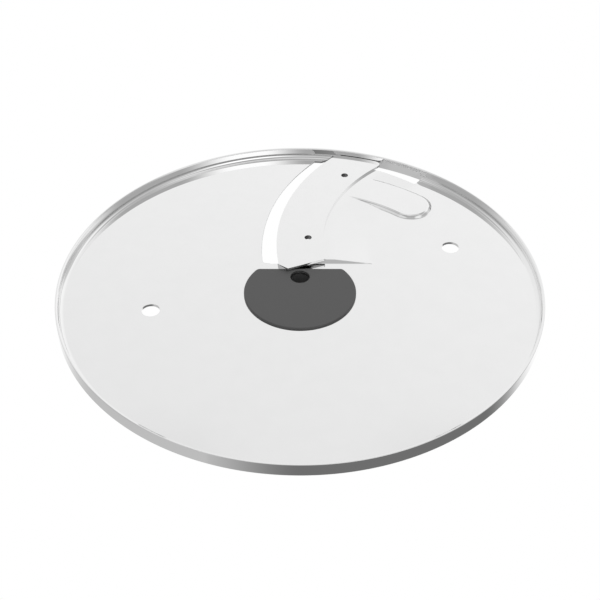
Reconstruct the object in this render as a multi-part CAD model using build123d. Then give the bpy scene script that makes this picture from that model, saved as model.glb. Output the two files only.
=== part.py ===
from build123d import *
from math import acos, asin, atan2, cos, degrees, hypot, radians, sin, sqrt
import os

# Slicing disc of a food processor, in millimetres. The origin is on the disc's axis, at the foot of the hub
# that it stands on. +Z is up, and +Y points from the hub to the blade.

# Stamped sheet and its turned-up rim
disc_diameter = 187.0
sheet_thickness = 1.0
rim_rise = 4.2  # plate's top face to the rim's edge
rim_bend_radius = 2.0  # inside of the bend between plate and rim
rim_corner_break = 0.3  # outside of the same bend, struck nearly square
rim_edge_break = 0.2  # edges of the rim with the burr taken off

# Blade: a crescent between two arcs about one centre, ground from below
blade_centre_x = 79.5
blade_centre_y = 28.8
cutting_edge_radius = 88.9
blade_width = 18.6
blade_thickness = 0.9
bevel_width = 3.2
edge_land = 0.15  # thickness left at the cutting edge
blade_rim_gap = 0.3  # outer end of the blade to the rim
blade_hub_overlap = 1.6  # reach of the blade's tip over the hub cap
blade_tip_width = 3.1  # cutting edge to the point of the tip
blade_end_angle = 22.2  # inner end of the blade, from the X axis
blade_tip_angle = 145.0  # short edge of the tip, from the X axis
blade_corner_radius = 3.0
blade_tip_radius = 0.4

# Locating holes through the blade and the platform
locating_hole_diameter = 2.8
locating_hole_setback = 12.6  # cutting edge to the holes' centres
locating_hole_angles = (142.3, 177.6)  # about the blade's centre

# Platform under the blade, with the ramp behind it
platform_rise = 1.2
lip_setback = 4.5  # cutting edge to the platform's lip
platform_margin = 3.2  # platform left behind the blade
ramp_length = 15.0
platform_hub_gap = 3.9  # flat of the hub cap to the foot of the platform's wall

# Slot in front of the blade, from the hub's side to the foot of the rim's bend
slot_gap_inner = 6.0
slot_gap_outer = 5.6
slot_corner_radius = 2.4
slot_rim_web = 3.4  # sheet left between the slot and the rim's wall

# Relief along the rim, from the slot round the blade's outer end to the foot of the ramp
platform_rim_gap = 5.5  # edge of the platform and the ramp to the rim's wall
relief_rim_web = 0.6  # rest of the bend left between the relief and the rim's wall
relief_end_angle = 55.5  # from the X axis
relief_corner_radius = 1.0

# Finger pressed up behind the blade, level with the platform
finger_width = 15.6  # across its flat top
finger_rim_gap = 11.1  # foot of the finger to the rim's wall
finger_end_angle = 50.5  # centre of the round end, from the X axis
finger_crown_radius = 1.3  # outside of the bend along its crown

# Round holes in the plate: distance from the axis and angle from the X axis
plate_hole_diameter = 7.0
plate_holes = ((66.8, 24.9), (57.8, 190.4))

# Interfaces of the hub: a blind socket on the axis, and a hole right through for the drive peg
stem_socket_diameter = 7.0
stem_socket_floor = 1.4  # plastic between the socket and the sheet
drive_hole_diameter = 7.6
drive_hole_web = 1.35  # between the socket and the drive hole

# Hub: cap above the sheet, flange and ribbed boss below, joined through anchor holes in the sheet
hub_cap_diameter = 43.4
hub_flat_wall = 1.35  # between the drive hole and the flat of the cap
hub_corner_radius = 2.0
hub_edge_break = 0.3
blade_hub_clearance = 0.4  # top of the cap to the blade's underside
hub_flange_thickness = 2.0
hub_boss_bulge = 2.2  # round side of the boss, beyond the distance of its flat
hub_boss_depth = 10.8  # sheet's underside to the foot of the hub
hub_wall = 2.0
rib_thickness = 1.6
rib_foot_setback = 1.2  # ribs stop short of the foot of the hub
rib_angles = (150, 210, 270, 330, 30)  # the drive hole's boss takes the sixth place
anchor_diameter = 8.0
anchor_ring_radius = 12.0
anchor_angles = (210, 270, 330)

# Levels and radii that follow from the sizes above
sheet_underside = hub_boss_depth
plate_top = sheet_underside + sheet_thickness
rim_top = plate_top + rim_rise
platform_top = plate_top + platform_rise
blade_top = platform_top + blade_thickness
hub_top = platform_top - blade_hub_clearance
flange_underside = sheet_underside - hub_flange_thickness
disc_radius = disc_diameter / 2
rim_inner_radius = disc_radius - sheet_thickness
blade_back_radius = cutting_edge_radius - blade_width
blade_outer_radius = rim_inner_radius - blade_rim_gap
lip_radius = cutting_edge_radius - lip_setback
ramp_top_radius = blade_back_radius - platform_margin
ramp_foot_radius = ramp_top_radius - ramp_length
slot_outer_radius = rim_inner_radius - slot_rim_web
platform_edge_radius = rim_inner_radius - platform_rim_gap
relief_outer_radius = rim_inner_radius - relief_rim_web
relief_middle_radius = (platform_edge_radius + relief_outer_radius) / 2
stem_socket_depth = hub_boss_depth - stem_socket_floor
drive_hole_offset = stem_socket_diameter / 2 + drive_hole_web + drive_hole_diameter / 2
drive_hole_place = (0, drive_hole_offset)
hub_flat_distance = drive_hole_offset + drive_hole_diameter / 2 + hub_flat_wall
hub_boss_radius = hub_flat_distance + hub_boss_bulge
wall_foot_y = hub_flat_distance + platform_hub_gap
blade_tip_y = hub_flat_distance - blade_hub_overlap
blade_centre = (blade_centre_x, blade_centre_y)
reach = 2 * disc_diameter  # longer than anything that it cuts
blade_sweep = (95.0, 205.0)  # angles about the blade's centre that take in every piece of it


def polar(radius, angle, centre=(0.0, 0.0)):
    """Point at a radius and an angle about a centre."""
    return (centre[0] + radius * cos(radians(angle)), centre[1] + radius * sin(radians(angle)))


def meeting_point(axis_radius, arc_radius):
    """Far point where a circle about the disc's axis meets one about the blade's centre."""
    distance = hypot(*blade_centre)
    along = (axis_radius**2 - arc_radius**2 + distance**2) / (2 * distance)
    turn = degrees(atan2(blade_centre_y, blade_centre_x) + acos(along / axis_radius))
    return polar(axis_radius, turn)


def angle_about_blade_centre(point):
    """Angle from 0 to 360 at which the blade's centre sees a point."""
    return degrees(atan2(point[1] - blade_centre_y, point[0] - blade_centre_x)) % 360


def with_rounds(outline, rounds):
    """Outline with the corner nearest to each (x, y) place rounded; radius 0 leaves it sharp."""
    for x, y, radius in rounds:
        if radius > 0:
            outline = fillet(outline.vertices().sort_by_distance((x, y, 0))[0], radius)
    return outline


def with_breaks(outline, places, width):
    """Outline with the corner nearest to each (x, y) place taken off at 45 degrees."""
    for x, y in places:
        outline = chamfer(outline.vertices().sort_by_distance((x, y, 0))[0], width)
    return outline


def turned(section, centre, start, sweep, rounds=()):
    """Solid of a section of (radius, height) points turned about a vertical axis."""
    outward = (cos(radians(start)), sin(radians(start)), 0)
    plane = Plane((*centre, 0), x_dir=outward, z_dir=(outward[1], -outward[0], 0))
    outline = with_rounds(Polygon(*section, align=None), rounds)
    return revolve(plane * outline, Axis((*centre, 0), (0, 0, 1)), sweep)


def upright(sketch, low, high):
    """Solid of a plan outline between two levels."""
    return extrude(Pos(0, 0, low) * sketch, high - low)


def d_outline(radius, flat_distance):
    """Round plan with one flat side, as the hub has above and below the sheet."""
    below_flat = Pos(0, flat_distance - reach / 2) * Rectangle(reach, reach)
    outline = Circle(radius) & below_flat
    return fillet(outline.vertices(), hub_corner_radius)


def round_holes(places, diameter):
    """Plan outline of like round holes."""
    return Sketch() + [Pos(*place) * Circle(diameter / 2) for place in places]


def anchor_holes():
    """Plan outline of the holes that the hub's plastic fills."""
    return round_holes([polar(anchor_ring_radius, angle) for angle in anchor_angles], anchor_diameter)


def locating_holes():
    """Plan outline of the two holes that go through blade and platform."""
    radius = cutting_edge_radius - locating_hole_setback
    places = [polar(radius, angle, blade_centre) for angle in locating_hole_angles]
    return round_holes(places, locating_hole_diameter)


def drive_hole():
    """Plan outline of the drive hole, through the hub and the sheet."""
    return round_holes([drive_hole_place], drive_hole_diameter)


def pan():
    """Flat plate with its turned-up rim, before anything is pressed or cut."""
    corner = (disc_radius, sheet_underside)
    rim_edges = ((disc_radius, rim_top), (rim_inner_radius, rim_top))
    bend = (rim_inner_radius, plate_top)
    section = Polygon((0, sheet_underside), corner, *rim_edges, bend, (0, plate_top), align=None)
    section = with_breaks(section, [corner], rim_corner_break)
    section = with_breaks(section, rim_edges, rim_edge_break)
    section = with_rounds(section, [(*bend, rim_bend_radius)])
    return revolve(Plane.XZ * section, Axis.Z)


def behind_platform_wall(foot_y):
    """Space behind a wall that leans back at 45 degrees from its foot at the plate's top face."""
    lean = 4 * (platform_rise + sheet_thickness)
    section = Polygon(
        (foot_y - lean, plate_top - lean),
        (foot_y + lean, plate_top + lean),
        (reach, plate_top + lean),
        (reach, plate_top - lean),
        align=None,
    )
    return extrude(Plane.YZ * section, reach / 2, both=True)


def ramp_form(level, bottom, wall_foot):
    """Platform and ramp whose surface leaves a level and rises behind a leaning wall."""
    start, end = blade_sweep
    section = (
        (ramp_foot_radius, bottom),
        (ramp_foot_radius, level),
        (ramp_top_radius, level + platform_rise),
        (lip_radius, level + platform_rise),
        (lip_radius, bottom),
    )
    form = turned(section, blade_centre, start, end - start)
    return form & behind_platform_wall(wall_foot) & upright(Circle(relief_middle_radius), bottom, rim_top)


def finger_form(level, bottom, half_width, crown_radius=0):
    """Finger with walls at 45 degrees, from the platform round to its round end."""
    foot_half_width = half_width + platform_rise
    centre_radius = rim_inner_radius - finger_rim_gap - finger_width / 2 - platform_rise
    crown = level + platform_rise
    across = (
        (centre_radius - foot_half_width, bottom),
        (centre_radius - foot_half_width, level),
        (centre_radius - half_width, crown),
        (centre_radius + half_width, crown),
        (centre_radius + foot_half_width, level),
        (centre_radius + foot_half_width, bottom),
    )
    crown_bends = [(centre_radius + side, crown, crown_radius) for side in (-half_width, half_width)]
    under_blade = meeting_point(centre_radius, (blade_back_radius + lip_radius) / 2)
    sweep = degrees(atan2(under_blade[1], under_blade[0])) - finger_end_angle
    run = turned(across, (0, 0), finger_end_angle, sweep, crown_bends)
    half = (
        (0, bottom),
        (foot_half_width, bottom),
        (foot_half_width, level),
        (half_width, crown),
        (0, crown),
    )
    end_centre = polar(centre_radius, finger_end_angle)
    return run + turned(half, end_centre, 0, 360, [(half_width, crown, crown_radius)])


def slot_outline():
    """Plan of the slot: an arc in front of the cutting edge, the platform's lip behind it."""
    inner = 180 + degrees(asin((blade_centre_y - wall_foot_y) / cutting_edge_radius))
    outer = angle_about_blade_centre(meeting_point(blade_outer_radius, cutting_edge_radius))
    overrun = 0.2 * (inner - outer)

    def gap_edge(angle):
        share = (inner - angle) / (inner - outer)
        gap = slot_gap_inner + share * (slot_gap_outer - slot_gap_inner)
        return polar(cutting_edge_radius + gap, angle, blade_centre)

    first, last = inner + overrun, outer - overrun
    middle = (first + last) / 2
    front = ThreePointArc(gap_edge(first), gap_edge(middle), gap_edge(last))
    lip = [polar(lip_radius, angle, blade_centre) for angle in (last, middle, first)]
    outline = make_face([front, Line(front @ 1, lip[0]), ThreePointArc(*lip), Line(lip[2], front @ 0)])
    beyond_wall = Pos(0, wall_foot_y + reach / 2) * Rectangle(reach, reach)
    outline = outline & Circle(slot_outer_radius) & beyond_wall
    return with_rounds(outline, [(*gap_edge(inner), slot_corner_radius)])


def relief_outline():
    """Plan of the relief that parts the platform and the ramp from the rim."""
    in_slot = meeting_point(relief_middle_radius, (lip_radius + cutting_edge_radius) / 2)
    sector = Polygon(
        (0, 0),
        polar(reach, relief_end_angle),
        polar(reach, degrees(atan2(in_slot[1], in_slot[0]))),
        align=None,
    )
    outline = (Circle(relief_outer_radius) - Circle(platform_edge_radius)) & sector
    corners = [polar(radius, relief_end_angle) for radius in (platform_edge_radius, relief_outer_radius)]
    return with_rounds(outline, [(*corner, relief_corner_radius) for corner in corners])


def make_plate():
    """Stamped sheet: pan, platform with its ramp, finger, slot, relief and holes."""
    middle_of_sheet = plate_top - sheet_thickness / 2
    below = sheet_underside - sheet_thickness
    lean_shift = sheet_thickness * sqrt(2)
    hollow_half_width = finger_width / 2 - (lean_shift - sheet_thickness)
    raised = ramp_form(plate_top, middle_of_sheet, wall_foot_y)
    raised += finger_form(plate_top, middle_of_sheet, finger_width / 2, finger_crown_radius)
    hollow = ramp_form(sheet_underside, below, wall_foot_y + lean_shift)
    hollow += finger_form(sheet_underside, below, hollow_half_width)
    holes = round_holes([polar(*place) for place in plate_holes], plate_hole_diameter)
    cuts = slot_outline() + relief_outline() + holes + locating_holes() + anchor_holes() + drive_hole()
    return pan() + raised - hollow - upright(cuts, below, rim_top)


def make_blade():
    """Crescent blade with a ground edge, seated on the platform."""
    bevel_start = cutting_edge_radius - bevel_width
    section = (
        (blade_back_radius, platform_top),
        (bevel_start, platform_top),
        (cutting_edge_radius, blade_top - edge_land),
        (cutting_edge_radius, blade_top),
        (blade_back_radius, blade_top),
    )
    start, end = blade_sweep
    crescent = turned(section, blade_centre, start, end - start)
    edge_x = blade_centre_x - sqrt(cutting_edge_radius**2 - (blade_centre_y - blade_tip_y) ** 2)
    tip = (edge_x + blade_tip_width, blade_tip_y)
    ends = Polygon(
        tip,
        polar(reach, blade_end_angle, tip),
        (reach, reach),
        polar(reach, blade_tip_angle, tip),
        align=None,
    )
    outline = (ends & Circle(blade_outer_radius)) - Pos(*blade_centre) * Circle(blade_back_radius)
    outline = outline.faces().sort_by_distance(tip)[0]
    back_corner = meeting_point(blade_outer_radius, blade_back_radius)
    outline = with_rounds(outline, [(*back_corner, blade_corner_radius), (*tip, blade_tip_radius)])
    return crescent & upright(outline - locating_holes(), platform_top, blade_top)


def make_hub():
    """Plastic hub: cap, anchors, flange and a ribbed boss with the stem socket and the drive hole."""
    outline = d_outline(hub_cap_diameter / 2, hub_flat_distance)
    cap = upright(outline, plate_top, hub_top)
    cap = chamfer(cap.faces().sort_by(Axis.Z)[-1].edges(), hub_edge_break)
    anchors = upright(anchor_holes(), sheet_underside, plate_top)
    flange = upright(outline, flange_underside, sheet_underside)
    outside = d_outline(hub_boss_radius, hub_flat_distance)
    skirt = outside - d_outline(hub_boss_radius - hub_wall, hub_flat_distance - hub_wall)
    socket_boss = Circle(stem_socket_diameter / 2 + hub_wall)
    drive_boss = Pos(*drive_hole_place) * Circle(drive_hole_diameter / 2 + hub_wall) & outside
    rib = Pos(hub_boss_radius / 2, 0) * Rectangle(hub_boss_radius, rib_thickness) & outside
    ribs = Sketch() + [Rot(0, 0, angle) * rib for angle in rib_angles]
    boss = upright(skirt + socket_boss + drive_boss, 0, flange_underside)
    boss += upright(ribs, rib_foot_setback, flange_underside)
    socket = upright(Circle(stem_socket_diameter / 2), 0, stem_socket_depth)
    return cap + anchors + flange + boss - socket - upright(drive_hole(), 0, hub_top)


pieces = {"disc_plate": make_plate(), "slicing_blade": make_blade(), "drive_hub": make_hub()}
os.makedirs("parts", exist_ok=True)
for name, solid in pieces.items():
    export_step(solid, f"parts/{name}.step")
    print(name, round(solid.volume, 1), "mm3")
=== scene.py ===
import logging
import math
from dataclasses import dataclass, field
from enum import Enum, IntEnum

import bpy
import numpy as np
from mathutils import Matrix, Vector
from mathutils.geometry import delaunay_2d_cdt


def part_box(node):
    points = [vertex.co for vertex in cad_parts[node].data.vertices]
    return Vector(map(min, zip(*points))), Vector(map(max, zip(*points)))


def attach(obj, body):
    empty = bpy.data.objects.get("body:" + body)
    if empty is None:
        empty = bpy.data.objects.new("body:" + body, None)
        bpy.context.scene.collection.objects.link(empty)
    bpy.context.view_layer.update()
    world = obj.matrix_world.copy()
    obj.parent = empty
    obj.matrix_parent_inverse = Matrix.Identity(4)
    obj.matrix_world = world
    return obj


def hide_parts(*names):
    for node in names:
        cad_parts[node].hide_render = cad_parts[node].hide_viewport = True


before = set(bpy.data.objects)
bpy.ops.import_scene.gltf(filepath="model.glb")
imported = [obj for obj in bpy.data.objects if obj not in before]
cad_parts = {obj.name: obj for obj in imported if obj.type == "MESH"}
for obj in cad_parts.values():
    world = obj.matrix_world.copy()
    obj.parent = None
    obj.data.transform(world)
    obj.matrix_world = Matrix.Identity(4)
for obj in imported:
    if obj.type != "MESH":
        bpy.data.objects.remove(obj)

# A food processor's slicing disc: a stamped steel plate with a turned-up rim, a curved blade over a slot,
# and a plastic drive hub. Plans are drawn in millimetres about the disc's axis, with +Y from the hub to the
# blade, and become metres when a mesh is made.

log = logging.getLogger("slicing_disc")
MM = 0.001
# Lengths in millimetres below this count as nought.
NOUGHT = 1e-6
# Points on a round hole, and the distance between points on a rounded corner of an outline.
HOLE_POINTS = 96
CORNER_STEP = 0.15
Points = np.ndarray
Tree = bpy.types.NodeTree
Node = bpy.types.Node
Socket = bpy.types.NodeSocket


class Slot(str, Enum):
    """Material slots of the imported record."""

    SHEET = "stamped_steel"
    BLADE = "blade_steel"
    HUB = "hub_plastic"


class Side(IntEnum):
    """Finishes on one piece of sheet, by their place in the piece's list of materials."""

    POLISHED = 0
    SHEARED = 1
    # Punched hole walls, which get a darker grey than the other cut edges: painted shade inside the small
    # holes.
    PUNCHED_SHADED = 2


# Colour and nodes


def linear(code: str) -> tuple[float, float, float, float]:
    """Colour of an sRGB hex code in linear light.

    Args:
        code: Six hex digits.

    Returns:
        Red, green, blue and an alpha of one.
    """
    parts = [int(code[i : i + 2], 16) / 255 for i in (0, 2, 4)]
    red, green, blue = (p / 12.92 if p <= 0.04045 else ((p + 0.055) / 1.055) ** 2.4 for p in parts)
    return red, green, blue, 1.0


def add_node(tree: Tree, kind: str, inputs: dict | None = None, **settings) -> Node:
    """Adds one node, with its settings and what goes into its sockets.

    Args:
        tree: Node tree that gets the node.
        kind: Blender's type name of the node, without its first word.
        inputs: Socket name or number to a constant, or to the output socket that is linked to it.
        settings: Properties of the node itself.

    Returns:
        The new node.
    """
    node = tree.nodes.new(f"ShaderNode{kind}")
    for name, value in settings.items():
        setattr(node, name, value)
    for key, value in (inputs or {}).items():
        if isinstance(value, Socket):
            tree.links.new(value, node.inputs[key])
        else:
            node.inputs[key].default_value = value
    return node


# Plan curves


def polar(radius: float, degrees: float, centre: tuple[float, float] = (0.0, 0.0)) -> tuple[float, float]:
    """Point at a radius and an angle about a centre."""
    turn = math.radians(degrees)
    return centre[0] + radius * math.cos(turn), centre[1] + radius * math.sin(turn)


def arc(centre: tuple[float, float], radius: float, start: float, end: float, step: float) -> Points:
    """Points along an arc.

    Args:
        centre: Centre of the arc.
        radius: Radius of the arc.
        start: First angle in degrees.
        end: Last angle in degrees, below the first for a clockwise arc.
        step: Distance between points, about.

    Returns:
        Points from the first angle to the last, both included.
    """
    count = max(3, round(abs(math.radians(end - start)) * radius / step) + 1)
    turns = np.radians(np.linspace(start, end, count))
    return np.column_stack((centre[0] + radius * np.cos(turns), centre[1] + radius * np.sin(turns)))


def straight(start: tuple[float, float], end: tuple[float, float], step: float) -> Points:
    """Points along a straight line, both ends included."""
    count = max(3, round(math.dist(start, end) / step) + 1)
    return np.linspace(start, end, count)


def ring(centre: tuple[float, float], radius: float, count: int) -> Points:
    """Closed circle of points, anticlockwise."""
    turns = np.linspace(0, 2 * math.pi, count, endpoint=False)
    return np.column_stack((centre[0] + radius * np.cos(turns), centre[1] + radius * np.sin(turns)))


def trimmed(curve: Points, setback: float) -> Points:
    """Takes the first stretch off a curve.

    Args:
        curve: Points along the curve.
        setback: Length of the stretch.

    Returns:
        Points from the end of the stretch on.
    """
    lengths = np.concatenate(([0.0], np.cumsum(np.linalg.norm(np.diff(curve, axis=0), axis=1))))
    first = [np.interp(setback, lengths, curve[:, axis]) for axis in (0, 1)]
    return np.vstack((first, curve[lengths > setback + NOUGHT]))


def joined(curves: list[Points], radii: list[float], step: float) -> Points:
    """Closed outline of curves that follow one another, with rounded corners.

    Args:
        curves: Each starts where the one before it ends, and the first follows the last.
        radii: Radius of the corner at the end of each curve; nought leaves it sharp.
        step: Distance between points on a rounded corner, about.

    Returns:
        Points of the outline, none of them twice.
    """
    curves = list(curves)
    corners = []
    for index, radius in enumerate(radii):
        after = (index + 1) % len(curves)
        corner = curves[index][-1]
        arriving = corner - curves[index][-2]
        leaving = curves[after][1] - corner
        turn = math.acos(np.dot(arriving, leaving) / np.linalg.norm(arriving) / np.linalg.norm(leaving))
        setback = radius * math.tan(turn / 2)
        curves[index] = trimmed(curves[index][::-1], setback)[::-1]
        curves[after] = trimmed(curves[after], setback)
        share = np.linspace(0, 1, max(2, round(radius * turn / step)))[1:-1, None]
        start, end = curves[index][-1], curves[after][0]
        corners.append((1 - share) ** 2 * start + 2 * share * (1 - share) * corner + share**2 * end)
    pieces = []
    for index, radius in enumerate(radii):
        pieces.append(curves[index] if radius else curves[index][:-1])
        pieces.append(corners[index])
    return np.vstack(pieces)


def beside(loop: Points, distance: float | np.ndarray) -> Points:
    """Moves a closed outline to the right of its direction of travel.

    Args:
        loop: Points of the outline.
        distance: How far it moves, for the whole outline or for each point.

    Returns:
        As many points, mitred at the corners.
    """
    before, after = np.roll(loop, 1, axis=0), np.roll(loop, -1, axis=0)
    sides = []
    for way in (loop - before, after - loop):
        sides.append(np.column_stack((way[:, 1], -way[:, 0])) / np.linalg.norm(way, axis=1)[:, None])
    both = sides[0] + sides[1]
    mitre = both / (1 + np.sum(sides[0] * sides[1], axis=1))[:, None]
    return loop + distance * mitre


def inside(points: Points, loop: Points) -> np.ndarray:
    """Tells which points lie inside a closed outline.

    Args:
        points: Points to test.
        loop: Points of the outline.

    Returns:
        True or false for each point.
    """
    result = np.zeros(len(points), dtype=bool)
    x, y = points[:, 0], points[:, 1]
    for (ax, ay), (bx, by) in zip(loop, np.roll(loop, -1, axis=0)):
        if ay != by:
            crosses = (ay > y) != (by > y)
            result ^= crosses & (x < (bx - ax) * (y - ay) / (by - ay) + ax)
    return result


# Soft forms


def eased(distance: np.ndarray, reach: float) -> np.ndarray:
    """Nought before nought and the distance itself after it, with a round bend of a given reach each way."""
    near = np.clip(distance, -reach, reach)
    return np.maximum(distance - reach, 0) + (near + reach) ** 2 / (4 * reach)


def soft_least(first: np.ndarray, second: np.ndarray, reach: float) -> np.ndarray:
    """The lesser of two heights, with a round bend where they cross."""
    return first - eased(first - second, reach)


# Meshes


@dataclass
class MeshDraft:
    """Faces of a mesh under way, each with the normals that its corners are shaded by."""

    places: list[Points] = field(default_factory=list)
    faces: list[tuple[int, ...]] = field(default_factory=list)
    normals: list[Points] = field(default_factory=list)
    sides: list[int] = field(default_factory=list)
    count: int = 0

    def add_places(self, places: Points) -> np.ndarray:
        """Adds points in millimetres and returns their numbers."""
        numbers = np.arange(self.count, self.count + len(places))
        self.places.append(places)
        self.count += len(places)
        return numbers

    def add_faces(
        self, faces: np.ndarray, normals: Points, sides: Side | np.ndarray = Side.POLISHED
    ) -> None:
        """Adds faces to the mesh.

        Args:
            faces: Numbers of each face's points.
            normals: A normal for each corner of each face.
            sides: Finish of all the faces, or of each of them.
        """
        self.faces.extend(map(tuple, faces.tolist()))
        self.normals.append(normals.reshape(-1, 3))
        self.sides.extend(np.broadcast_to(sides, len(faces)).tolist())

    def add_band(
        self,
        first: np.ndarray,
        second: np.ndarray,
        upper: Points,
        lower: Points,
        sides: Side | np.ndarray = Side.POLISHED,
    ) -> None:
        """Adds the band of faces between two closed rows of points, with the normals along each row.

        Args:
            first: Numbers of one row of points.
            second: Numbers of the row beside it, to the left of the first row's direction seen from outside.
            upper: Normals along the first row.
            lower: Normals along the second row.
            sides: Finish of the band, or of each of its faces.
        """
        faces = np.column_stack((first, second, np.roll(second, -1), np.roll(first, -1)))
        corners = (upper, lower, np.roll(lower, -1, axis=0), np.roll(upper, -1, axis=0))
        self.add_faces(faces, np.stack(corners, axis=1), sides)

    def make(self, name: str) -> bpy.types.Object:
        """Makes the object, in metres.

        Args:
            name: Name of the object and of its mesh.

        Returns:
            The object, in the scene.
        """
        mesh = bpy.data.meshes.new(name)
        mesh.from_pydata((np.vstack(self.places) * MM).tolist(), [], self.faces)
        mesh.shade_smooth()
        mesh.normals_split_custom_set(np.vstack(self.normals).tolist())
        mesh.polygons.foreach_set("material_index", self.sides)
        piece = bpy.data.objects.new(name, mesh)
        bpy.context.scene.collection.objects.link(piece)
        return piece


class Sheet:
    """Piece of sheet metal, drawn as a plan between an upper and a lower face."""

    edge_round: float = 0.1
    edge_rows: int = 4

    def upper(self, plan: Points) -> np.ndarray:
        """Height of the upper face."""
        raise NotImplementedError

    def lower(self, plan: Points) -> np.ndarray:
        """Height of the lower face."""
        raise NotImplementedError

    def normals(self, plan: Points, upper: bool) -> Points:
        """Normals of one face, from its slope.

        Args:
            plan: Points of the plan.
            upper: Whether the upper face is meant.

        Returns:
            Unit vectors that point out of the sheet.
        """
        height = self.upper if upper else self.lower
        small = 1e-3
        slopes = [(height(plan + shift) - height(plan - shift)) / (2 * small) for shift in small * np.eye(2)]
        normals = np.column_stack((-slopes[0], -slopes[1], np.ones(len(plan))))
        normals /= np.linalg.norm(normals, axis=1)[:, None]
        return normals if upper else -normals

    def fill(
        self, draft: MeshDraft, loops: list[Points], spread: Points
    ) -> list[tuple[np.ndarray, np.ndarray]]:
        """Adds both faces of the sheet between its outlines.

        Args:
            draft: Mesh that gets the faces.
            loops: Closed outlines with the metal on their left; the first one is the outside.
            spread: More points of the plan, on the metal.

        Returns:
            Numbers of the points along each outline, on the upper and on the lower face.
        """
        plan = np.vstack([*loops, spread])
        edges, starts, first = [], [], 0
        for loop in loops:
            numbers = first + np.arange(len(loop))
            starts.append(numbers)
            edges.extend(zip(numbers.tolist(), np.roll(numbers, -1).tolist()))
            first += len(loop)
        result = delaunay_2d_cdt([Vector(p) for p in plan], edges, [], 0, NOUGHT)
        found = np.array([origin[0] for origin in result[3]])
        faces = found[np.array(result[2])]
        middles = plan[faces].mean(axis=1)
        keep = inside(middles, loops[0])
        for loop in loops[1:]:
            keep &= ~inside(middles, loop)
        faces = faces[keep]
        top = draft.add_places(np.column_stack((plan, self.upper(plan))))
        bottom = draft.add_places(np.column_stack((plan, self.lower(plan))))
        draft.add_faces(top[faces], self.normals(plan, True)[faces])
        draft.add_faces(bottom[faces[:, ::-1]], self.normals(plan, False)[faces[:, ::-1]])
        return [(top[numbers], bottom[numbers]) for numbers in starts]

    def edge(
        self,
        draft: MeshDraft,
        loop: Points,
        rows: tuple[np.ndarray, np.ndarray],
        sides: Side | np.ndarray,
        overhang: np.ndarray | None = None,
    ) -> None:
        """Adds the cut edge along an outline: rounded at the top, then down to the lower face.

        Args:
            draft: Mesh that gets the faces.
            loop: Outline that the faces end at, short of the cut by the round.
            rows: Numbers of the outline's points on the upper and on the lower face.
            sides: Finish of the cut, or of the cut after each point.
            overhang: How far the upper face reaches beyond the lower one at each point, where it does.
        """
        out = beside(loop, 1.0) - loop
        out /= np.linalg.norm(out, axis=1)[:, None]
        level = np.zeros((len(loop), 1))
        face = self.normals(loop, True)
        last, last_normals = rows[0], face
        top = self.upper(loop)
        reach = level if overhang is None else overhang[:, None]
        first = 1 if overhang is None else 0
        for turn in np.linspace(0, math.pi / 2, self.edge_rows + 1)[first:]:
            plan = beside(loop, reach + self.edge_round * math.sin(turn))
            height = top - self.edge_round * (1 - math.cos(turn))
            numbers = draft.add_places(np.column_stack((plan, height)))
            normals = np.hstack((out, level)) * math.sin(turn) + face * math.cos(turn)
            normals /= np.linalg.norm(normals, axis=1)[:, None]
            draft.add_band(last, numbers, last_normals, normals, sides if turn else Side.POLISHED)
            last, last_normals = numbers, normals
        plan = beside(loop, self.edge_round)
        numbers = draft.add_places(np.column_stack((plan, self.lower(loop))))
        cut = np.hstack((out, -reach / (top - self.lower(loop) - self.edge_round)[:, None]))
        cut /= np.linalg.norm(cut, axis=1)[:, None]
        draft.add_band(last, numbers, cut, cut, sides)
        under = np.hstack((np.zeros_like(out), level - 1))
        draft.add_band(numbers, rows[1], under, under)


# Pieces


@dataclass
class BladePlan:
    """Crescent that the blade, its platform and the slot are drawn about, in millimetres and degrees."""

    centre: tuple[float, float] = (79.5, 28.8)
    edge_radius: float = 88.9
    width: float = 18.6
    hole_setback: float = 12.6
    hole_diameter: float = 2.8
    hole_angles: tuple[float, float] = (142.3, 177.6)

    @property
    def back_radius(self) -> float:
        """Radius of the blade's back."""
        return self.edge_radius - self.width

    def distance(self, plan: Points) -> np.ndarray:
        """Distance of points from the crescent's centre."""
        return np.hypot(plan[:, 0] - self.centre[0], plan[:, 1] - self.centre[1])

    def meeting(self, axis_radius: float, arc_radius: float) -> tuple[float, float]:
        """Far point where a circle about the disc's axis meets one about the crescent's centre.

        Args:
            axis_radius: Radius of the circle about the axis.
            arc_radius: Radius of the circle about the crescent's centre.

        Returns:
            Point of the plan.
        """
        apart = math.hypot(*self.centre)
        along = (axis_radius**2 - arc_radius**2 + apart**2) / (2 * apart)
        turn = math.atan2(self.centre[1], self.centre[0]) + math.acos(along / axis_radius)
        return polar(axis_radius, math.degrees(turn))

    def angle(self, point: tuple[float, float]) -> float:
        """Angle from 0 to 360 at which the crescent's centre sees a point."""
        return math.degrees(math.atan2(point[1] - self.centre[1], point[0] - self.centre[0])) % 360

    def level_angle(self, radius: float, y: float) -> float:
        """Angle at which an arc about the centre crosses a line of equal y, left of the centre."""
        return 180 + math.degrees(math.asin((self.centre[1] - y) / radius))

    def hole_places(self) -> list[tuple[float, float]]:
        """Centres of the two locating holes."""
        radius = self.edge_radius - self.hole_setback
        return [polar(radius, angle, self.centre) for angle in self.hole_angles]


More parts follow.
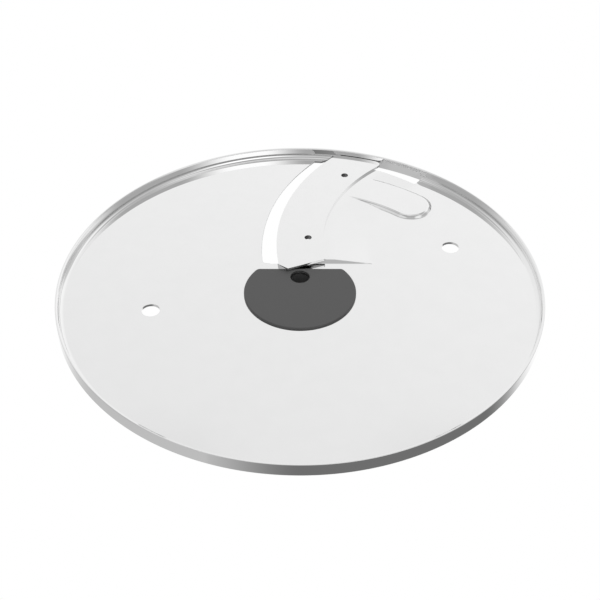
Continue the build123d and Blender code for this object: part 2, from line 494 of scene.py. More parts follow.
@dataclass
class StampedPlate(Sheet):
    """Steel sheet with its rim, platform, ramp, finger, slot and holes.

    Lengths are in millimetres, angles in degrees about the disc's axis from +X. The slot's break-out is how
    far its upper edge overhangs the lower one, and the lean is the rim's wall where it goes straight down to
    the relief's edge.
    """

    blade: BladePlan
    thickness: float = 1.0
    # Rim
    bend_radius: float = 2.0
    bend_share: float = 82.0
    rim_round: float = 0.2
    rim_slant: float = 28.0
    rim_land: float = 0.5
    corner_round: float = 0.3
    segments: int = 720
    # Platform, ramp and their walls
    platform_rise: float = 1.2
    lip_setback: float = 4.5
    platform_margin: float = 3.2
    ramp_length: float = 15.0
    ramp_ease: float = 1.5
    wall_foot: float = 17.7
    wall_slope: float = 42.0
    finger_wall_slope: float = 42.0
    foot_ease: float = 0.2
    crown_ease: float = 0.5
    wall_crown_ease: float = 0.15
    join_ease: float = 0.05
    # Slot and relief
    slot_gap_inner: float = 6.0
    slot_gap_outer: float = 5.6
    slot_corner: float = 2.4
    slot_breakout: float = 0.5
    slot_rim_web: float = 2.9
    slot_end_gaps: tuple[float, float] = (3.6, 1.4)
    rim_gap: float = 5.5
    relief_rim_web: float = 0.15
    lean_top: float = 15.0
    lean_end: float = 67.2
    lean_fade: float = 0.6
    relief_end: float = 55.5
    relief_corner: float = 1.0
    # Finger and round holes
    finger_radius: float = 72.4
    finger_width: float = 15.6
    finger_end: float = 50.5
    hole_diameter: float = 7.0
    holes: tuple[tuple[float, float], ...] = ((66.8, 24.9), (57.8, 190.4))
    drive_hole_y: float = 8.65
    drive_hole_diameter: float = 7.6
    anchor_diameter: float = 8.0
    anchor_ring: float = 12.0
    anchor_angles: tuple[float, ...] = (210.0, 270.0, 330.0)
    blade_rim_gap: float = 0.3
    # Spacing of the points that carry the forms: along cuts, on the pressed area and across its walls.
    step: float = 0.4
    short_step: float = 0.2
    slot_points: int = 400
    slot_overrun: float = 6.0
    grid_x: tuple[float, float] = (-16.0, 66.0)
    grid_y: tuple[float, float] = (14.0, 92.0)
    grid_step: float = 0.6
    row_step: float = 0.5
    end_step: float = 0.35
    finger_rows: tuple[float, float] = (-2.0, 1.0)
    finger_sweep: tuple[float, float] = (0.3, 32.0)
    finger_half_turn: tuple[float, float] = (-179.0, -1.0)
    wall_rows: tuple[float, float] = (-0.9, 2.4)
    wall_ends: tuple[float, float] = (-6.0, 30.0)
    bend_rows: int = 10
    bend_clear: float = 0.5
    cut_clear: float = 0.15
    outline_clear: float = 0.05

    def __post_init__(self) -> None:
        """Takes the levels and the outer radius from the frame."""
        low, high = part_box("disc_plate")
        self.radius = min(*map(abs, low[:2]), *map(abs, high[:2])) / MM
        self.rim_top = high[2] / MM
        self.underside = low[2] / MM
        self.top = self.underside + self.thickness
        self.wall_radius = self.radius - self.thickness
        self.slot_radius = self.wall_radius - self.slot_rim_web
        self.relief_radius = self.wall_radius - self.relief_rim_web
        self.platform_radius = self.wall_radius - self.rim_gap
        self.relief_middle = (self.platform_radius + self.relief_radius) / 2
        self.lip_radius = self.blade.edge_radius - self.lip_setback
        self.ramp_top = self.blade.back_radius - self.platform_margin
        self.ramp_foot = self.ramp_top - self.ramp_length

    def upper(self, plan: Points) -> np.ndarray:
        """Height of the upper face: platform and ramp, finger, and the foot of the rim's bend.

        Args:
            plan: Points of the plan.

        Returns:
            Height above the disc's foot at each point.
        """
        distance, radius = self.blade.distance(plan), np.hypot(plan[:, 0], plan[:, 1])
        slope = self.platform_rise / self.ramp_length
        foot, top = (eased(distance - end, self.ramp_ease) for end in (self.ramp_foot, self.ramp_top))
        ramp = slope * (foot - top)
        wall = self.wall_height(self.wall_foot + self.platform_rise / 2 - plan[:, 1], self.wall_slope)
        ramp = soft_least(ramp, wall, self.wall_crown_ease)
        beyond = (distance > self.blade.edge_radius) | (radius > self.relief_middle)
        ramp = np.where(beyond, 0.0, ramp)
        finger = soft_least(np.full(len(plan), self.platform_rise), self.finger_slope(plan), self.crown_ease)
        raised = -soft_least(-ramp, -finger, self.join_ease)
        raised = np.where(np.maximum(ramp, finger) < NOUGHT, 0.0, raised)
        return self.top + raised + self.bend_height(plan)

    def bend_height(self, plan: Points) -> np.ndarray:
        """Height of the rim's bend above the plate; beside the relief the wall leans straight to its edge.

        Args:
            plan: Points of the plan.

        Returns:
            Height above the flat plate at each point.
        """
        radius = np.hypot(plan[:, 0], plan[:, 1])
        over = np.clip(radius - (self.wall_radius - self.bend_radius), 0, self.bend_radius)
        bend = self.bend_radius - np.sqrt(self.bend_radius**2 - over**2)
        lean = self.lean_height(radius) - self.top
        leaning = bend + self.beside_relief(plan) * (lean - bend)
        return np.where(radius < self.relief_radius, bend, leaning)

    def lean_height(self, radius: np.ndarray) -> np.ndarray:
        """Height of the leaning wall beside the relief."""
        drop = self.bend_radius - self.relief_rim_web
        edge = self.top + self.bend_radius - math.sqrt(self.bend_radius**2 - drop**2)
        return edge + (self.lean_top - edge) * (radius - self.relief_radius) / self.relief_rim_web

    def beside_relief(self, plan: Points) -> np.ndarray:
        """One beside the open stretch of the relief, nought elsewhere, with a short change between."""
        along = np.degrees(np.arctan2(plan[:, 1], plan[:, 0]))
        inner = np.minimum(along - self.relief_end, self.lean_end - along) / self.lean_fade
        return np.clip(inner, 0, 1)

    def finger_slope(self, plan: Points) -> np.ndarray:
        """Height of the finger's walls, as if they met above its crown.

        Args:
            plan: Points of the plan.

        Returns:
            Height above the flat plate at each point.
        """
        along = np.degrees(np.arctan2(plan[:, 1], plan[:, 0]))
        end = polar(self.finger_radius, self.finger_end)
        across = np.abs(np.hypot(plan[:, 0], plan[:, 1]) - self.finger_radius)
        round_end = np.hypot(plan[:, 0] - end[0], plan[:, 1] - end[1])
        behind_blade = self.blade.distance(plan) < self.blade.edge_radius
        off = np.where((along >= self.finger_end) & behind_blade, across, round_end)
        middle = self.finger_width / 2 + self.platform_rise / 2
        return self.wall_height(off - middle, self.finger_wall_slope)

    def wall_height(self, off: np.ndarray, degrees: float) -> np.ndarray:
        """Height of a pressed wall by the distance outwards from its middle, with a round foot."""
        slope = math.tan(math.radians(degrees))
        return eased(self.platform_rise / 2 - slope * off, self.foot_ease)

    def lower(self, plan: Points) -> np.ndarray:
        """Height of the lower face, which follows the upper one but for the rim's bend."""
        return self.upper(plan) - self.thickness - self.bend_height(plan)

    def slot_loop(self) -> Points:
        """Outline of the slot and of the relief that follows it along the rim, clockwise.

        The slot runs along the cutting edge, ends near the rim, rises beside the edge to the rim's wall, and
        goes on under the blade's end as the relief.

        Returns:
            Points of the outline.
        """
        blade = self.blade
        inner = blade.level_angle(blade.edge_radius, self.wall_foot)
        outer = blade.angle(blade.meeting(self.wall_radius - self.blade_rim_gap, blade.edge_radius))
        angles = np.linspace(inner + self.slot_overrun, outer - self.slot_overrun, self.slot_points)
        share = (inner - angles) / (inner - outer)
        gaps = self.slot_gap_inner + share * (self.slot_gap_outer - self.slot_gap_inner)
        turns = np.radians(angles)
        reach = blade.edge_radius + gaps + self.slot_breakout
        x, y = blade.centre[0] + reach * np.cos(turns), blade.centre[1] + reach * np.sin(turns)
        front = np.column_stack((x, y))[(y > self.wall_foot) & (np.hypot(x, y) < self.slot_radius)]
        rise_start = blade.meeting(self.slot_radius, blade.edge_radius + self.slot_end_gaps[0])
        rise_end = blade.meeting(self.relief_radius, blade.edge_radius + self.slot_end_gaps[1])
        corner = blade.meeting(self.platform_radius, self.lip_radius)
        ends = [self.bearing(point) for point in (front[-1], rise_start)]
        slot_end = arc((0, 0), self.slot_radius, *ends, self.step)
        rise = straight(rise_start, rise_end, self.short_step)
        along_rim = arc((0, 0), self.relief_radius, self.bearing(rise_end), self.relief_end, self.step)
        far, near = (polar(radius, self.relief_end) for radius in (self.relief_radius, self.platform_radius))
        end = straight(far, near, self.short_step)
        back = arc((0, 0), self.platform_radius, self.relief_end, self.bearing(corner), self.step)
        lip_end = blade.level_angle(self.lip_radius, self.wall_foot)
        lip = arc(blade.centre, self.lip_radius, blade.angle(corner), lip_end, self.step)
        foot = straight(tuple(lip[-1]), tuple(front[0]), self.step)
        slot_end[0], foot[-1] = front[-1], front[0]
        curves = [front, slot_end, rise, along_rim, end, back, lip, foot]
        corners = [0, 0, 0, self.relief_corner, self.relief_corner, 0, 0, self.slot_corner]
        return joined(curves, corners, CORNER_STEP)

    @staticmethod
    def bearing(point: tuple[float, float]) -> float:
        """Angle of a point about the disc's axis, in degrees."""
        return math.degrees(math.atan2(point[1], point[0]))

    def hole_loops(self) -> list[Points]:
        """Outlines of the round holes, clockwise.

        Returns:
            The two large holes, the blade's two locating holes, the drive hole and the hub's anchor holes.
        """
        round_holes = [(polar(*place), self.hole_diameter) for place in self.holes]
        round_holes += [(place, self.blade.hole_diameter) for place in self.blade.hole_places()]
        round_holes.append(((0, self.drive_hole_y), self.drive_hole_diameter))
        anchors = [polar(self.anchor_ring, angle) for angle in self.anchor_angles]
        round_holes += [(place, self.anchor_diameter) for place in anchors]
        return [ring(place, size / 2, HOLE_POINTS)[::-1] for place, size in round_holes]

    def spread(self, cuts: list[Points], outside: float) -> Points:
        """Points of the plan that carry the pressed forms and the bend.

        Args:
            cuts: Outlines that the points keep clear of.
            outside: Radius that the points keep within.

        Returns:
            Points on the metal.
        """
        bend_start = self.wall_radius - self.bend_radius
        (left, right), (near, far), pitch = self.grid_x, self.grid_y, self.grid_step
        grid = np.mgrid[left:right:pitch, near:far:pitch].reshape(2, -1).T
        rows = [grid[np.hypot(grid[:, 0], grid[:, 1]) < bend_start - self.bend_clear]]
        half = self.finger_width / 2 + self.platform_rise
        end = polar(self.finger_radius, self.finger_end)
        sweep = [self.finger_end + turn for turn in self.finger_sweep]
        half_turn = [self.finger_end + turn for turn in self.finger_half_turn]
        for off in np.arange(half + self.finger_rows[0], half + self.finger_rows[1], self.short_step):
            for radius in (self.finger_radius - off, self.finger_radius + off):
                rows.append(arc((0, 0), radius, *sweep, self.row_step))
            rows.append(arc(end, off, *half_turn, self.end_step))
        lowest, highest = (self.wall_foot + off for off in self.wall_rows)
        for y in np.arange(lowest, highest, self.short_step):
            rows.append(straight((self.wall_ends[0], y), (self.wall_ends[1], y), self.row_step))
        for radius in np.linspace(bend_start, outside, self.bend_rows)[:-1]:
            rows.append(ring((0, 0), radius, self.segments))
        points = np.vstack(rows)
        clear = np.hypot(points[:, 0], points[:, 1]) < outside - self.outline_clear
        for loop in cuts:
            clear &= ~inside(points, beside(loop, -self.cut_clear))
        return points[clear]

    def rim_profile(self) -> list[tuple[float, float, float]]:
        """Section of the rim from its bend over the top edge to the corner below.

        Returns:
            Radius, height and the normal's angle from the outward direction, in degrees, point after point.
        """
        bend = (self.wall_radius - self.bend_radius, self.top + self.bend_radius)
        edge, corner = self.rim_round, self.corner_round
        slant, land = 90 + self.rim_slant, self.radius - self.rim_land
        inner, lean = self.wall_radius + edge / 2, math.radians(self.rim_slant)
        across = land - inner - edge / 2 * math.sin(lean)
        drop = edge / 2 * (1 - math.cos(lean)) + across * math.tan(lean)
        # Each round: centre, radius (below nought where it is hollow), first angle, last angle and points.
        rounds = [
            (bend, -self.bend_radius, 90 - self.bend_share, 0, 14),
            ((inner, self.rim_top - drop - edge / 2), edge / 2, 180, slant, 4),
            ((land, self.rim_top - edge), edge, slant, 90, 4),
            ((self.radius - edge, self.rim_top - edge), edge, 90, 0, 5),
            ((self.radius - corner, self.underside + corner), corner, 0, -90, 5),
        ]
        profile = []
        for centre, radius, start, end, count in rounds:
            for angle in np.linspace(start, end, count):
                hollow = radius < 0
                place = polar(abs(radius), -angle if hollow else angle, centre)
                profile.append((*place, 180 - angle if hollow else angle))
        return profile

    def build(self) -> bpy.types.Object:
        """Builds the plate.

        Returns:
            The piece, with its cut edges and its rim.
        """
        draft = MeshDraft()
        bend_reach = self.bend_radius * math.sin(math.radians(self.bend_share))
        outside = self.wall_radius - self.bend_radius + bend_reach
        cuts = [beside(loop, -self.edge_round) for loop in (self.slot_loop(), *self.hole_loops())]
        outline = ring((0, 0), outside, self.segments)
        rows = self.fill(draft, [outline, *cuts], self.spread(cuts, outside))
        far_edge = np.hypot(cuts[0][:, 0], cuts[0][:, 1]) > self.relief_middle
        sides = [np.where(far_edge, Side.POLISHED, Side.SHEARED)]
        sides += [Side.POLISHED] * len(self.holes)
        # The small holes' walls take the darker punched finish, which paints shade inside them.
        sides += [Side.PUNCHED_SHADED] * (len(cuts) - len(sides))
        front = self.blade.distance(cuts[0]) - self.blade.edge_radius - self.slot_gap_outer / 2
        front = np.minimum(front, self.slot_radius - np.hypot(cuts[0][:, 0], cuts[0][:, 1]))
        overhangs = [self.slot_breakout * np.clip(front, 0, 1)] + [None] * (len(cuts) - 1)
        for loop, numbers, finish, overhang in zip(cuts, rows[1:], sides, overhangs):
            self.edge(draft, loop, numbers, finish, overhang)
        self.add_rim(draft, outline / outside, rows[0])
        return draft.make("polished_plate")

    def add_rim(self, draft: MeshDraft, circle: Points, rows: tuple[np.ndarray, np.ndarray]) -> None:
        """Adds the rim, from the end of the bend over the top edge to the lower face.

        Args:
            draft: Mesh that gets the faces.
            circle: Outward directions round the disc.
            rows: Numbers of the outline's points on the upper and on the lower face.
        """
        last, last_normals = rows[0], None
        lean_rise = self.lean_top - self.lean_height(self.relief_radius)
        lean = 90 + math.degrees(math.atan2(lean_rise, self.relief_rim_web))
        for radius, height, angle in self.rim_profile():
            on_bend = height < self.top + self.bend_radius + NOUGHT and angle > 90
            share = self.beside_relief(circle) if on_bend else np.zeros(len(circle))
            turn = np.radians(angle + share * (lean - angle))
            normals = np.column_stack((circle * np.cos(turn)[:, None], np.sin(turn)))
            if last_normals is not None:
                heights = height + share * (self.lean_height(radius) - height)
                numbers = draft.add_places(np.column_stack((circle * radius, heights)))
                draft.add_band(last, numbers, last_normals, normals)
                last = numbers
            last_normals = normals
        draft.add_band(last, rows[1], last_normals, last_normals)


@dataclass
class SlicingBlade(Sheet):
    """Crescent blade on the platform, ground from below, in millimetres and degrees."""

    plan: BladePlan
    plate: StampedPlate
    bevel_width: float = 3.2
    edge_land: float = 0.15
    tip_y: float = 12.2
    tip_width: float = 3.1
    end_angle: float = 22.2
    tip_angle: float = 145.0
    corner_radius: float = 3.0
    tip_radius: float = 0.4
    bevel_angles: tuple[float, float] = (130.0, 195.0)
    bevel_clear: float = 0.2
    step: float = 0.4
    edge_round: float = 0.06

    def __post_init__(self) -> None:
        """Takes the levels from the frame."""
        low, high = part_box("slicing_blade")
        self.seat, self.top = low[2] / MM, high[2] / MM

    def upper(self, plan: Points) -> np.ndarray:
        """Height of the upper face."""
        return np.full(len(plan), self.top)

    def lower(self, plan: Points) -> np.ndarray:
        """Height of the lower face, with the ground bevel along the cutting edge.

        Args:
            plan: Points of the plan.

        Returns:
            Height above the disc's foot at each point.
        """
        share = (self.plan.distance(plan) - self.plan.edge_radius + self.bevel_width) / self.bevel_width
        rise = self.top - self.edge_land - self.seat
        return self.seat + rise * np.clip(share, 0, 1)

    def outline(self) -> Points:
        """Outline of the blade, anticlockwise.

        Returns:
            Points from the tip along the back, round the rim's end and back along the cutting edge.
        """
        shape = self.plan
        edge_x = shape.centre[0] - math.sqrt(shape.edge_radius**2 - (shape.centre[1] - self.tip_y) ** 2)
        tip = (edge_x + self.tip_width, self.tip_y)
        outer_radius = self.plate.wall_radius - self.plate.blade_rim_gap
        edge_end = shape.meeting(outer_radius, shape.edge_radius)
        back_end = shape.meeting(outer_radius, shape.back_radius)
        edge_start = self.crossing(tip, self.tip_angle, shape.edge_radius)
        back_start = self.crossing(tip, self.end_angle, shape.back_radius)
        degrees = [math.degrees(math.atan2(y, x)) for x, y in (edge_end, back_end)]
        curves = [
            straight(tip, back_start, self.step),
            arc(shape.centre, shape.back_radius, shape.angle(back_start), shape.angle(back_end), self.step),
            arc((0, 0), outer_radius, degrees[1], degrees[0], self.step),
            arc(shape.centre, shape.edge_radius, shape.angle(edge_end), shape.angle(edge_start), self.step),
            straight(edge_start, tip, self.step),
        ]
        return joined(curves, [0, self.corner_radius, 0, 0, self.tip_radius], CORNER_STEP)

    def crossing(self, start: tuple[float, float], degrees: float, radius: float) -> tuple[float, float]:
        """Nearest point where a ray crosses a circle about the crescent's centre.

        Args:
            start: Start of the ray.
            degrees: Direction of the ray.
            radius: Radius of the circle.

        Returns:
            Point of the plan.
        """
        way = polar(1.0, degrees)
        off = (start[0] - self.plan.centre[0], start[1] - self.plan.centre[1])
        middle = -(way[0] * off[0] + way[1] * off[1])
        half = math.sqrt(middle**2 - (off[0] ** 2 + off[1] ** 2 - radius**2))
        length = min(value for value in (middle - half, middle + half) if value > 0)
        return start[0] + length * way[0], start[1] + length * way[1]

    def build(self) -> bpy.types.Object:
        """Builds the blade.

        Returns:
            The piece, with its cut edges and holes.
        """
        draft = MeshDraft()
        hole_radius = self.plan.hole_diameter / 2
        holes = [ring(place, hole_radius, HOLE_POINTS)[::-1] for place in self.plan.hole_places()]
        loops = [beside(loop, -self.edge_round) for loop in (self.outline(), *holes)]
        bevel_start = self.plan.edge_radius - self.bevel_width
        bevel = arc(self.plan.centre, bevel_start, *self.bevel_angles, self.step)
        clear = inside(bevel, beside(loops[0], -self.bevel_clear))
        rows = self.fill(draft, loops, bevel[clear])
        # The blade's locating holes take the darker punched finish, which paints shade inside them.
        for loop, numbers, finish in zip(loops, rows, (Side.POLISHED, Side.PUNCHED_SHADED, Side.PUNCHED_SHADED)):
            self.edge(draft, loop, numbers, finish)
        return draft.make("ground_blade")


# Finishes


def noise(tree: Tree, grain_mm: float, stretch: tuple[float, float, float] = (1, 1, 1)) -> Socket:
    """Adds a pattern of soft spots.

    Args:
        tree: Node tree of a material.
        grain_mm: Size of a spot.
        stretch: How many times longer a spot is along each axis.

    Returns:
        Socket that gives about 0.3 to 0.7.
    """
    place = add_node(tree, "TexCoord").outputs["Object"]
    scale = tuple(1 / (grain_mm * MM * times) for times in stretch)
    spots = add_node(tree, "Mapping", {"Vector": place, "Scale": scale}, vector_type="POINT")
    pattern = add_node(tree, "TexNoise", {"Vector": spots.outputs[0], "Scale": 1.0, "Detail": 2.0})
    return pattern.outputs["Fac"]


def spread_over(tree: Tree, pattern: Socket, low: float, high: float) -> Socket:
    """Turns a pattern of soft spots into a range of values.

    Args:
        tree: Node tree of a material.
        pattern: Socket of the pattern.
        low: Value in the darkest spots.
        high: Value in the lightest spots.

    Returns:
        Socket that gives the values.
    """
    inputs = {"Value": pattern, "From Min": 0.3, "From Max": 0.7, "To Min": low, "To Max": high}
    return add_node(tree, "MapRange", inputs).outputs[0]


def tinted(tree: Tree, pattern: Socket, code: str, share: float) -> Socket:
    """Gives a colour that a pattern makes a little darker and lighter.

    Args:
        tree: Node tree of a material.
        pattern: Socket of the pattern.
        code: Colour as six hex digits.
        share: How much darker and lighter.

    Returns:
        Socket that gives the colour.
    """
    red, green, blue, alpha = linear(code)
    ends = [(red * factor, green * factor, blue * factor, alpha) for factor in (1 - share, 1 + share)]
    factor = spread_over(tree, pattern, 0.0, 1.0)
    return add_node(tree, "Mix", {0: factor, 6: ends[0], 7: ends[1]}, data_type="RGBA").outputs[2]


@dataclass(frozen=True)
class Finish:
    """Base of the finishes: a colour and a polish that soft spots change a little."""

    name: str
    colour: str
    roughness: float
    polish_share: float = 0.2
    grey_share: float = 0.08

    def spots(self, tree: Tree) -> Socket:
        """Adds the pattern of this finish."""
        raise NotImplementedError

    def complete(self, tree: Tree, shader: Node, spots: Socket) -> None:
        """Adds what only this finish has."""
        raise NotImplementedError

    def make(self) -> bpy.types.Material:
        """Builds the material.

        Returns:
            The material, with its pattern in the colour and in the roughness.
        """
        material = bpy.data.materials.new(self.name)
        material.use_nodes = True
        tree = material.node_tree
        shader = tree.nodes["Principled BSDF"]
        spots = self.spots(tree)
        low, high = (self.roughness * (1 + share) for share in (-self.polish_share, self.polish_share))
        tree.links.new(tinted(tree, spots, self.colour, self.grey_share), shader.inputs["Base Color"])
        tree.links.new(spread_over(tree, spots, low, high), shader.inputs["Roughness"])
        self.complete(tree, shader, spots)
        return material


@dataclass(frozen=True)
class Steel(Finish):
    """Base of the steel finishes."""

    def complete(self, tree: Tree, shader: Node, spots: Socket) -> None:
        """Makes the surface a metal."""
        shader.inputs["Metallic"].default_value = 1.0


@dataclass(frozen=True)
class PolishedSteel(Steel):
    """Cold-rolled stainless sheet with a mirror polish.

    The eye sees the white room in it, a little softened. Faint clouds a few millimetres wide change the
    polish and the grey by a hair, as on a sheet that came off rolls and a buffing wheel.
    """

    colour: str = "eeeeee"
    roughness: float = 0.04
    polish_share: float = 0.25
    grey_share: float = 0.006
    cloud_mm: float = 7.0

    def spots(self, tree: Tree) -> Socket:
        """Adds the clouds."""
        return noise(tree, self.cloud_mm)


@dataclass(frozen=True)
class CutSteel(Steel):
    """Edge of the sheet where a press tool went through it.

    The eye sees a dull grey with upright drag marks from the tool; the much darker grey given to the punched
    hole walls is painted shade inside the small holes. The marks are about a tenth of a millimetre wide on
    the real edge and are drawn three times as wide, so that they do not flicker.
    """

    mark_mm: float = 0.3
    mark_length: float = 12.0

    def spots(self, tree: Tree) -> Socket:
        """Adds the drag marks."""
        return noise(tree, self.mark_mm, (1, 1, self.mark_length))


@dataclass(frozen=True)
class MouldedPlastic(Finish):
    """Dark grey plastic from an eroded mould, with a fine matt grain and small moulded rounds on its edges.

    The eye sees an even dark grey with a soft sheen, and edges that catch a little light. The grain is about
    a tenth of a millimetre on the real skin and is drawn three times as wide, so that it does not flicker.
    """

    colour: str = "565656"
    roughness: float = 0.42
    polish_share: float = 0.12
    grey_share: float = 0.03
    grain_mm: float = 0.3
    grain_depth_mm: float = 0.004
    edge_round_mm: float = 0.3
    edge_samples: int = 8

    def spots(self, tree: Tree) -> Socket:
        """Adds the grain."""
        return noise(tree, self.grain_mm)

    def complete(self, tree: Tree, shader: Node, spots: Socket) -> None:
        """Raises the grain and rounds the edges."""
        rounds = add_node(tree, "Bevel", {"Radius": self.edge_round_mm * MM}, samples=self.edge_samples)
        depth = {"Height": spots, "Distance": self.grain_depth_mm * MM, "Normal": rounds.outputs[0]}
        tree.links.new(add_node(tree, "Bump", depth).outputs[0], shader.inputs["Normal"])


# Studio


@dataclass(frozen=True)
class Panel:
    """Soft-edged patch of the studio round the disc, by compass angle and by height.

    Compass angles are in degrees from the front, -Y, towards +X. Heights are sines above the horizon. Each
    pair is where the patch begins to show and where it shows in full.
    """

    level: float
    left: tuple[float, float]
    right: tuple[float, float]
    foot: tuple[float, float] = (-1.2, -1.1)
    head: tuple[float, float] = (1.2, 1.1)


@dataclass
class Studio:
    """Camera, cards below the slot, and the lit surroundings that the steel mirrors.

    The camera's place and aim are in metres, the cards' corners and height in millimetres.
    """

    camera_place: tuple[float, float, float] = (0.0, -0.3879, 0.3400)
    camera_aim: tuple[float, float, float] = (0.0, 0.0, 0.008)
    lens_mm: float = 78.8
    sensor_mm: float = 36.0
    tent_level: float = 1.0
    tent_sideways: float = 0.12
    tent_falloff: float = 0.45
    tent_bright_height: float = 0.57
    card_level: float = 0.57
    card_height: float = 5.0
    cards: tuple[tuple[tuple[float, float], ...], ...] = (
        ((-14, 16), (-3, 16), (7, 40), (16, 62), (14, 71), (-14, 71)),
        ((38, 62), (72, 52), (80, 60), (44, 84)),
    )
    panels: tuple[Panel, ...] = (
        # Grey half of the room in front, darker towards the floor.
        Panel(0.52, left=(-128, -92), right=(124, 96), head=(0.75, 0.67)),
        Panel(0.32, left=(-128, -92), right=(124, 96), foot=(-0.05, 0.0), head=(0.36, 0.24)),
        # Two lit windows in that half, which the far rim's wall and bend mirror.
        Panel(1.36, left=(-47, -45), right=(-28, -44), foot=(0.36, 0.46), head=(0.8, 0.74)),
        Panel(1.36, left=(-4, 19), right=(62, 32), foot=(0.36, 0.46), head=(0.8, 0.74)),
        # Grey strips high up, which the bends of the rim and of the pressed forms mirror.
        Panel(0.42, left=(-110, -75), right=(110, 75), foot=(0.83, 0.89), head=(1.0, 0.985)),
        Panel(0.52, left=(-28, -14), right=(45, 25), foot=(0.76, 0.83), head=(0.95, 0.92)),
        Panel(0.5, left=(60, 95), right=(178, 166), foot=(0.7, 0.79), head=(0.93, 0.86)),
        Panel(0.5, left=(-178, -166), right=(-62, -95), foot=(0.7, 0.79), head=(0.93, 0.86)),
        # Grey strip low on the right, for the round end of the finger.
        Panel(0.66, left=(100, 125), right=(141, 131), foot=(0.0, 0.1), head=(0.52, 0.44)),
        # Grey below the horizon, dark in front, which the outside of the near rim mirrors.
        Panel(0.585, left=(-160, -114), right=(148, 108), head=(0.03, -0.03)),
        Panel(0.18, left=(-56, 2), right=(130, 97), head=(0.03, -0.03)),
        # Grey stand on the left, from below the horizon up.
        Panel(0.585, left=(-70, -65), right=(-43, -47), foot=(-0.9, -0.8), head=(0.76, 0.70)),
    )

    def add_cards(self) -> None:
        """Lays pale cards below the slot and the relief, which only the steel mirrors."""
        material = bpy.data.materials.new("pale_card")
        material.use_nodes = True
        tree = material.node_tree
        glow = add_node(tree, "Emission", {"Color": (self.card_level,) * 3 + (1.0,)})
        tree.links.new(glow.outputs[0], tree.nodes["Material Output"].inputs["Surface"])
        for corners in self.cards:
            mesh = bpy.data.meshes.new("pale_card")
            places = [(x * MM, y * MM, self.card_height * MM) for x, y in corners]
            mesh.from_pydata(places, [], [tuple(range(len(places)))])
            mesh.materials.append(material)
            card = bpy.data.objects.new("pale_card", mesh)
            bpy.context.scene.collection.objects.link(card)
            card.visible_camera = False
            card.visible_diffuse = False
            card.visible_shadow = False

    def set_camera(self) -> None:
        """Adds the camera of the photo."""
        data = bpy.data.cameras.new("camera")
        data.lens = self.lens_mm
        data.sensor_width = self.sensor_mm
        camera = bpy.data.objects.new("camera", data)
        bpy.context.scene.collection.objects.link(camera)
        camera.location = self.camera_place
        camera.rotation_mode = "QUATERNION"
        camera.rotation_quaternion = (Vector(self.camera_aim) - camera.location).to_track_quat("-Z", "Y")
        bpy.context.scene.camera = camera

    @staticmethod
    def panel_share(tree: Tree, panel: Panel, compass: Socket, height: Socket) -> Socket:
        """Adds the share of a panel in each direction.

        Args:
            tree: Node tree of the world.
            panel: The panel.
            compass: Socket of the direction's compass angle.
            height: Socket of the direction's height.

        Returns:
            Socket that gives one on the panel and nought away from it.
        """
        share = None
        sides = ((compass, panel.left), (compass, panel.right), (height, panel.foot), (height, panel.head))
        for value, (none, full) in sides:
            inputs = {"Value": value, "From Min": none, "From Max": full}
            side = add_node(tree, "MapRange", inputs, interpolation_type="SMOOTHSTEP").outputs[0]
            if share is not None:
                side = add_node(tree, "Math", {0: share, 1: side}, operation="MULTIPLY").outputs[0]
            share = side
        return share

    def set_world(self) -> None:
        """Adds the surroundings: a white tent with panels, and plain white for the camera's own rays."""
        world = bpy.data.worlds.new("studio")
        world.use_nodes = True
        tree = world.node_tree
        way = add_node(tree, "SeparateXYZ", {0: add_node(tree, "TexCoord").outputs["Generated"]})
        front = add_node(tree, "Math", {0: way.outputs["Y"], 1: -1.0}, operation="MULTIPLY")
        turn = add_node(tree, "Math", {0: way.outputs["X"], 1: front.outputs[0]}, operation="ARCTAN2")
        compass = add_node(tree, "Math", {0: turn.outputs[0]}, operation="DEGREES").outputs[0]
        height = way.outputs["Z"]
        above = add_node(tree, "Math", {0: height, 1: self.tent_bright_height}, operation="SUBTRACT")
        above = add_node(tree, "Math", {0: above.outputs[0], 1: 0.0}, operation="MAXIMUM")
        fall = {0: above.outputs[0], 1: -self.tent_falloff, 2: self.tent_level}
        upright = add_node(tree, "Math", fall, operation="MULTIPLY_ADD").outputs[0]
        tent = {0: way.outputs["X"], 1: self.tent_sideways, 2: upright}
        light = add_node(tree, "Math", tent, operation="MULTIPLY_ADD").outputs[0]
        for panel in self.panels:
            share = self.panel_share(tree, panel, compass, height)
            light = add_node(tree, "Mix", {0: share, 2: light, 3: panel.level}, data_type="FLOAT").outputs[0]
        path = add_node(tree, "LightPath").outputs
        rays = {0: path["Is Camera Ray"], 1: path["Is Transmission Ray"]}
        seen = add_node(tree, "Math", rays, operation="MAXIMUM").outputs[0]
        light = add_node(tree, "Mix", {0: seen, 2: light, 3: 1.0}, data_type="FLOAT").outputs[0]
        tree.links.new(light, tree.nodes["Background"].inputs["Color"])
        bpy.context.scene.world = world
        bpy.context.scene.view_settings.view_transform = "Standard"


def dress(piece: bpy.types.Object, node: str, materials: list[bpy.types.Material]) -> None:
    """Gives a piece its finishes and its place in the frame.

    Args:
        piece: Piece that stands for a CAD node.
        node: Name of that node.
        materials: Finishes in the order of their numbers on the faces.
    """
    for material in materials:
        piece.data.materials.append(material)
    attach(piece, "root")
    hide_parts(node)
    log.info("%s: %d faces, stands for %s", piece.name, len(piece.data.polygons), node)


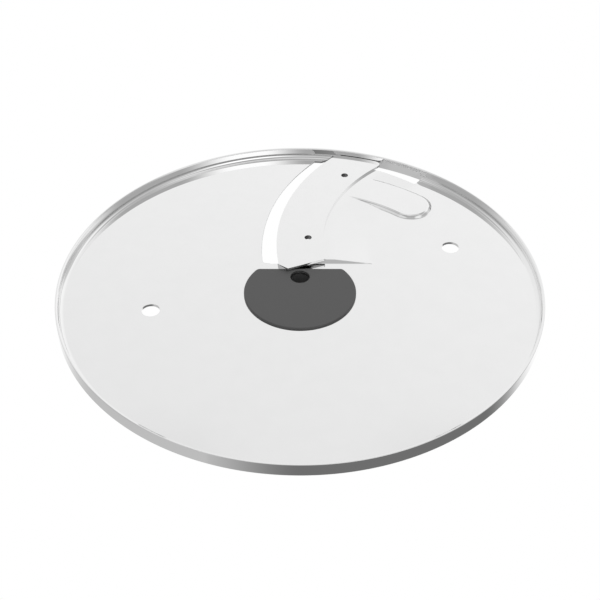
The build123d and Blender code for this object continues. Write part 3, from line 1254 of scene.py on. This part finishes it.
def main() -> None:
    """Builds the scene."""
    logging.basicConfig(level=logging.INFO, format="%(message)s")
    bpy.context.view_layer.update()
    steel = PolishedSteel("polished_sheet_steel").make()
    blade_steel = PolishedSteel("polished_blade_steel", cloud_mm=4.0).make()
    sheared = CutSteel("sheared_edge_steel", "eeeeee", 0.8).make()
    # Punched hole walls get a much darker grey than the sheared edges: painted shade inside the small holes,
    # on top of the real drag marks and dull polish.
    punched = CutSteel("punched_hole_steel_painted_shade", "8c8c8c", 0.35).make()
    plastic = MouldedPlastic("moulded_hub_plastic").make()
    crescent = BladePlan()
    plate = StampedPlate(crescent)
    dress(plate.build(), "disc_plate", [steel, sheared, punched])
    blade = SlicingBlade(crescent, plate)
    dress(blade.build(), "slicing_blade", [blade_steel, sheared, punched])
    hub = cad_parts["drive_hub"]
    hub.data.materials.clear()
    hub.data.materials.append(plastic)
    log.info("%s: %d faces, from the frame", hub.name, len(hub.data.polygons))
    studio = Studio()
    studio.add_cards()
    studio.set_camera()
    studio.set_world()


if __name__ == "__main__":
    main()
